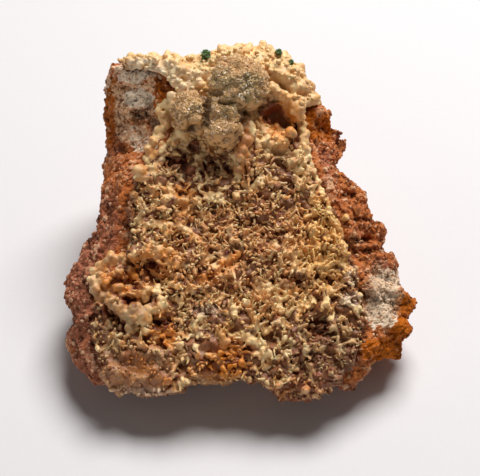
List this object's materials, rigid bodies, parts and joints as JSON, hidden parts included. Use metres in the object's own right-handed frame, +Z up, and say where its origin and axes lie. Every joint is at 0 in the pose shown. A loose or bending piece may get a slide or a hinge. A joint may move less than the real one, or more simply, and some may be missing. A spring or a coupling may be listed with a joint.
{
  "type": "gossan rock specimen with crystal crust and malachite",
  "caption": "Wedge-shaped hand specimen of rusty rock with a cream crystal crust, round drusy nodules and a little malachite, standing on a flat base.",
  "frame": {"origin": "middle of the specimen's box, at the surface it stands on", "axes": "+Z up; the crusted face looks towards -Y and up; +X to its right"},
  "size_m": [0.0936, 0.095, 0.0697],
  "materials": {
    "host_rock": "rough, earthy",
    "crystal_crust": "waxy crystals",
    "drusy_nodules": "sugary, sparkling",
    "malachite": "silky crystals"
  },
  "bodies": {
    "root": {"host_rock": "host_rock", "crystal_crust": "crystal_crust", "drusy_nodules": "drusy_nodules", "malachite_top": "malachite", "malachite_right": "malachite", "malachite_edge": "malachite"}
  },
  "joints": []
}
